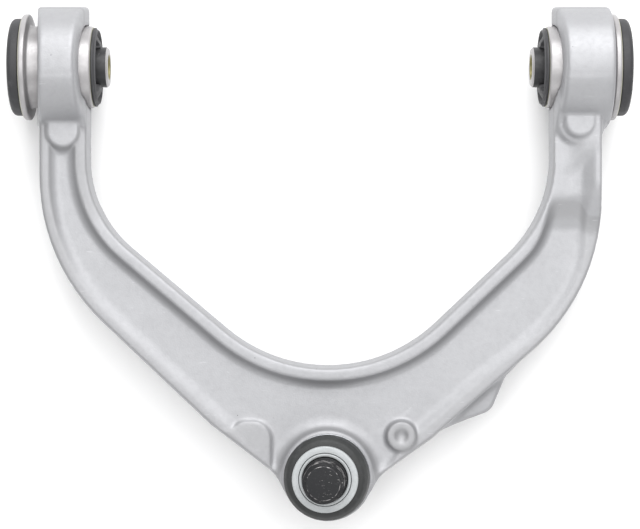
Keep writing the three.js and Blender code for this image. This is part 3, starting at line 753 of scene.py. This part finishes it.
def rubber_element(name, side):
    """Rubber between the sleeves, with a moulded lip, and a kidney-shaped void above and below the tube."""
    outside = SLEEVE_RADIUS - SLEEVE_WALL - GAP
    inside = TUBE_RADIUS + GAP
    outboard = FLANGE_THICKNESS - 1
    tip = TUBE_INBOARD + 4
    rim = 20.6
    walls = rounded([
        (rim, SLEEVE_END - GAP, 0.3), (outside, SLEEVE_END - GAP, 0.2), (outside, outboard, 0.5),
        (15, outboard - 4, 2.5), (inside, outboard - 1, 0.4), (inside, tip + 12, 0),
    ], step_deg=20, closed=False)

    # The inboard face is sampled finely enough for the lip and the voids' edges.
    radii = np.concatenate([
        np.linspace(inside, 12.6, 8), np.linspace(12.8, 18.6, 24), np.linspace(18.8, rim, 10),
    ])
    face = tip + np.interp(radii, [inside, 13.2, 17.6, 19.2, rim], [0, 0.5, 3.2, 1.9, 2.6])
    lip = 0.9 * np.exp(-(((radii - 18.9) / 0.6) ** 2))
    # The skin left on the tube ends a little way down the void.
    void_depth = np.interp(radii, [11.4, 12.2, 16.8, 17.6], [4.2, 11, 11, 0])

    def section(angle):
        from_vertical = math.degrees(math.acos(min(abs(math.sin(angle)), 1)))
        window = 1 - smooth_share(from_vertical, 55.0, 63.0)
        return np.concatenate([walls, np.stack([radii, face - lip + void_depth * window], -1)])

    def zone(radius, height):
        # The lip and the voids' edges take the lighter rubber: partly dust, partly painted highlight.
        on_lip = 18.3 < radius < 19.6 and height < SLEEVE_END
        at_void_edge = 16.8 < radius < 17.5 or 11.4 < radius < 12.1
        by_void = at_void_edge and tip + 0.6 < height < tip + 5
        return 1 if on_lip or by_void else 0

    piece = revolve(f"{name}_rubber_element_moulded", section, along_bushing(side), segments=144, zone=zone)
    finish_piece(piece, "arm", "black_rubber", [f"{name}_rubber_element"], RUBBER, DUST_AND_HIGHLIGHT_RUBBER)


def thrust_bumper(name, side):
    inside = TUBE_RADIUS + 2
    base = FLANGE_THICKNESS + GAP
    groove = BUMPER_OUTBOARD - 0.9
    section = rounded([
        (inside, base, 0.3), (BUMPER_RADIUS, base, 0.6), (BUMPER_RADIUS, BUMPER_OUTBOARD, 2.6),
        (19.5, BUMPER_OUTBOARD, 0.5), (18.8, groove, 0.4), (16.6, groove, 0.4), (15.9, BUMPER_OUTBOARD, 0.5),
        (inside, BUMPER_OUTBOARD, 1.2),
    ], step_deg=15)
    piece = revolve(f"{name}_thrust_bumper_moulded", lambda angle: section, along_bushing(side))
    finish_piece(piece, "arm", "black_rubber", [f"{name}_thrust_bumper"], RUBBER)


def inner_sleeve(name, side):
    bevel = 1.0

    def zone(radius, height):
        if radius < TUBE_BORE + 0.2:
            return 2
        at_end = height < TUBE_INBOARD + bevel or height > TUBE_OUTBOARD - bevel
        return 1 if at_end else 0

    section = rounded([
        (TUBE_BORE, TUBE_INBOARD, 0.6), (TUBE_RADIUS - bevel, TUBE_INBOARD, 0.2),
        (TUBE_RADIUS, TUBE_INBOARD + bevel, 0.3), (TUBE_RADIUS, TUBE_OUTBOARD - bevel, 0.3),
        (TUBE_RADIUS - bevel, TUBE_OUTBOARD, 0.2), (TUBE_BORE, TUBE_OUTBOARD, 0.6),
    ], step_deg=18)
    piece = revolve(f"{name}_inner_sleeve_turned", lambda angle: section, along_bushing(side), 96, zone=zone)
    body = name.replace("_bushing", "_inner_sleeve")
    finish_piece(piece, body, "coated_steel", [f"{name}_inner_sleeve"], COATED, ZINC, BORE)


for bushing, bushing_side in (("front_bushing", -1), ("rear_bushing", 1)):
    outer_sleeve(bushing, bushing_side)
    rubber_element(bushing, bushing_side)
    thrust_bumper(bushing, bushing_side)
    inner_sleeve(bushing, bushing_side)

# ---- ball joint, heights from the ball's centre -----------------------------------------------
BALL_RADIUS = 15.5
BALL_FLAT = -12
NECK_RADIUS = 8.2
SHANK_RADIUS = 11.2
RING_BASE = 31.3
THREAD_RADIUS, THREAD_DEPTH, THREAD_PITCH = 10.4, 0.75, 1.5
THREAD_START, THREAD_TIP = 40.0, 58.0
LEAN = Vector((0, 0, 1)).rotation_difference(Vector(STUD_AXIS))


def on_ball(leaning):
    """Places a lathe over the ball's centre, upright or leaning with the stud."""
    turn = np.array(LEAN.to_matrix()) if leaning else np.eye(3)

    def place(radius, angle, height):
        points = np.stack([radius * np.cos(angle), radius * np.sin(angle), height], -1)
        return BALL_POINT + points @ turn.T * MM

    return place


def boot_place(radius, angle, height):
    """The boot leans with the stud: not at all at its bead, and fully at its neck."""
    upright = np.stack([radius * np.cos(angle), radius * np.sin(angle), height], -1)
    leaning = upright @ np.array(LEAN.to_matrix()).T
    share = smooth_share(height, 15, 26)[..., None]
    return BALL_POINT + (upright * (1 - share) + leaning * share) * MM


def ball_stud():
    from_flat_to_neck = np.radians(np.linspace(-50.7, 58.1, 30))
    ball = [(BALL_RADIUS * math.cos(a), BALL_RADIUS * math.sin(a)) for a in from_flat_to_neck]
    shank = rounded([
        (NECK_RADIUS, 13.2, 0), (NECK_RADIUS, 30.8, 1.0), (SHANK_RADIUS, 31.2, 0.4),
        (SHANK_RADIUS, 38.2, 0.5), (THREAD_RADIUS - THREAD_DEPTH, 39.4, 0.3),
        (THREAD_RADIUS - THREAD_DEPTH, THREAD_START, 0),
    ], step_deg=18, closed=False)
    heights = np.arange(THREAD_START + 0.1, THREAD_TIP - 1.9, THREAD_PITCH / 10)
    tip = rounded([
        (THREAD_RADIUS, THREAD_TIP - 1.8, 0), (8.4, THREAD_TIP - 0.15, 0.5), (0, THREAD_TIP, 0),
    ], closed=False)[1:]

    def section(angle):
        phase = (heights - THREAD_START) / THREAD_PITCH - angle / (2 * math.pi)
        wave = np.abs(2 * (phase - np.floor(phase)) - 1)
        crest = np.clip((wave - 0.12) / 0.76, 0, 1)
        runout = smooth_share(heights, THREAD_START, THREAD_START + THREAD_PITCH)
        worn_end = smooth_share(heights, THREAD_TIP - 3.2, THREAD_TIP - 2.2) * 0.35
        depth = THREAD_DEPTH * (1 - np.maximum(crest * runout, worn_end))
        thread = np.stack([THREAD_RADIUS - depth, heights], -1)
        return np.concatenate([[(0, BALL_FLAT)], ball, shank, thread, tip])

    def zone(radius, height):
        # The crests get worn steel with a painted highlight; the chamfer edge gets a painted highlight line.
        on_crest = THREAD_START + 1 < height < THREAD_TIP and radius > THREAD_RADIUS - 0.16
        on_chamfer_edge = height > THREAD_TIP - 0.5 and 8.15 < radius < 8.6
        return 1 if on_crest or on_chamfer_edge else 0

    piece = revolve("ball_stud_threaded", section, on_ball(True), segments=120, pole=True, zone=zone)
    finish_piece(piece, "stud", "phosphated_steel", ["ball_stud"], PHOSPHATE, CREST_WEAR_AND_HIGHLIGHT, sharp_deg=40)


def ring(name, corners, body, slot, nodes, material, leaning, pole=False):
    section = rounded(corners, step_deg=18, closed=not pole)
    piece = revolve(name, lambda angle: section, on_ball(leaning), pole=pole)
    finish_piece(piece, body, slot, nodes, material)


def wire_clamp(name, radius, height, body, leaning):
    """A wire ring of two turns side by side, its ends tucked along the coil."""
    wire = 0.3  # its radius
    turns = 1.94
    steps = 160
    sides = 10
    angles = np.linspace(0, turns * 2 * math.pi, steps)
    rise = height + wire * (angles / math.pi - turns)
    around = np.arange(sides) * 2 * math.pi / sides
    level = rise[:, None] + wire * np.sin(around)
    radial = np.broadcast_to(radius + wire * np.cos(around), level.shape)
    points = on_ball(leaning)(radial, np.repeat(angles[:, None], sides, 1), level).reshape(-1, 3)
    i, j = np.meshgrid(np.arange(steps - 1), np.arange(sides), indexing="ij")
    j2 = (j + 1) % sides
    faces = np.stack([i * sides + j, (i + 1) * sides + j, (i + 1) * sides + j2, i * sides + j2], -1)
    piece = mesh_from(name, points, faces.reshape(-1, 4))
    close_ends(piece)
    finish_piece(piece, body, "spring_steel", [name.replace("_wire", "")], SPRING, sharp_deg=60)


def close_ends(piece):
    bm = bmesh.new()
    bm.from_mesh(piece.data)
    bmesh.ops.holes_fill(bm, edges=[edge for edge in bm.edges if edge.is_boundary], sides=64)
    bmesh.ops.recalc_face_normals(bm, faces=bm.faces)
    bm.to_mesh(piece.data)
    bm.free()


def dust_boot():
    """Two mouldings of one boot, met at its widest: the lower sits on the housing, the upper leans with the
    stud.
    """
    seam = 21.6
    base = HOUSING_SHOULDER + GAP
    throat = NECK_RADIUS + GAP
    lower = [
        (20.3, base, 0.3), (21.8, base, 0.3), (21.8, 12.3, 0.3), (21.0, 12.5, 0.2), (21.0, 13.9, 0.2),
        (21.7, 14.3, 0.3), (21.95, 17.6, 3), (21.95, seam, 0), (20.4, seam, 0), (19.5, 17, 2),
        (20.3, 14.8, 0.6),
    ]
    upper = [
        (21.95, seam, 0), (21.6, 25.0, 3), (19.6, 28.1, 3), (15.8, 28.9, 0.8), (15.2, 28.9, 0.3),
        (15.2, 30.9, 0.3), (throat, 30.2, 0.3), (throat, 28.8, 0.2), (12.4, 28.6, 0.6), (13.8, 26.9, 1),
        (17.6, 25.6, 2), (20.0, 23.6, 1.5), (20.4, seam, 0),
    ]
    for part, corners, bodies, start, end in (
        ("lower", lower, ("arm", "boot"), 14.2, 20.9),
        ("upper", upper, ("boot", "seal_rings"), 22.4, 28.6),
    ):
        section = densify(rounded(corners, step_deg=10), 0.8)
        piece = revolve(f"dust_boot_{part}", lambda angle, section=section: section, boot_place)
        finish_piece(piece, None, "black_rubber", ["dust_boot"], BOOT_RUBBER)
        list(bodies)
        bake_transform(piece)


def densify(points, step):
    """Adds points along the long edges of a closed section, so that it can bend."""
    result = []
    for a, b in zip(points, np.roll(points, -1, axis=0)):
        parts = max(1, math.ceil(np.linalg.norm(b - a) / step))
        result += [a + (b - a) * k / parts for k in range(parts)]
    return np.array(result)


ball_stud()
dust_boot()
ring("seal_ring_turned", [
    (13.5, RING_BASE, 0.2), (16.8, RING_BASE, 0.5), (16.8, 34.8, 0.7), (13.5, 34.8, 0.25),
], "seal_rings", "zinc_plated_steel", ["seal_ring"], PALE_ZINC, leaning=True)
ring("seal_ring_insert_turned", [
    (11.6, RING_BASE, 0.2), (13.2, RING_BASE, 0.2), (13.2, 35.3, 0.4), (11.6, 35.2, 0.6),
], "seal_rings", "zinc_plated_steel", ["seal_ring_insert"], PALE_ZINC, leaning=True)
ring("cover_plate_pressed", [
    (0, -20.4, 0), (12.4, -20.4, 1.5), (14.4, -19.4, 1.2), (19.7, -19.4, 0.3), (19.7, -17.3, 0.3),
    (14, -17.3, 1.2), (12, -18.4, 1.5), (0, -18.4, 0),
], "arm", "zinc_plated_steel", ["cover_plate"], ZINC, leaning=False, pole=True)
wire_clamp("boot_clamp_lower_wire", 21.9, 13.2, "arm", leaning=False)
wire_clamp("boot_clamp_upper_wire", 16.1, 29.8, "seal_rings", leaning=True)

# The plain pieces inside the housing keep their CAD meshes.
for node, material in (
    ("ball_seat_upper", POLYMER),
    ("ball_seat_lower", POLYMER),
    ("preload_washer", SPRING),
    ("snap_ring", SPRING),
):
    mesh = frame["nodes"][node].data
    mesh.materials.clear()
    mesh.materials.append(material)

# ---- floor, light and camera ------------------------------------------------------------------


def floor():
    half = 1.6
    below = -0.0002  # just under the eyes that it carries
    corners = [(-half, -half, below), (half, -half, below), (half, half, below), (-half, half, below)]
    piece = mesh_from("floor", corners, [(0, 1, 2, 3)])
    f = Finish("pale_floor", (0.93, 0.93, 0.93), 0.0, 0.9)
    f.tint(f.ramp(f.noise(120, detail=2), 0.3, 0.7, 0, 0.5), (0.95, 0.95, 0.95))
    piece.data.materials.append(f.done(specular=0.1))


def softbox(name, place, size, power):
    light = bpy.data.lights.new(name, "AREA")
    light.shape = "RECTANGLE"
    light.size, light.size_y = size
    light.energy = power
    lamp = bpy.data.objects.new(name, light)
    lamp.location = place
    aim = Vector((0, 0, 0.03)) - Vector(place)
    lamp.rotation_euler = aim.to_track_quat("-Z", "Y").to_euler()
    bpy.context.scene.collection.objects.link(lamp)


def studio_world():
    world = bpy.data.worlds.new("studio")
    world.use_nodes = True
    background = world.node_tree.nodes["Background"]
    background.inputs["Color"].default_value = (1, 1, 1, 1)
    background.inputs["Strength"].default_value = 0.62
    bpy.context.scene.world = world
    bpy.context.scene.view_settings.view_transform = "Standard"


def camera():
    height = 1.0  # above the bushing axis
    width_seen = 0.336  # of the plane through the bushing axis
    data = bpy.data.cameras.new("camera")
    data.sensor_width = 36
    data.lens = 36 * height / width_seen
    data.clip_start = 0.05
    lens = bpy.data.objects.new("camera", data)
    lens.location = (0, ORIGIN[1], ORIGIN[2] + height)
    bpy.context.scene.collection.objects.link(lens)
    bpy.context.scene.camera = lens


floor()
softbox("overhead", (0.0, 0.15, 1.5), (1.5, 1.1), 13)
softbox("key_from_behind", (0.15, 1.1, 1.0), (1.3, 0.8), 19.5)
softbox("front_fill", (0.1, -1.3, 0.8), (1.4, 0.7), 5)
studio_world()
camera()
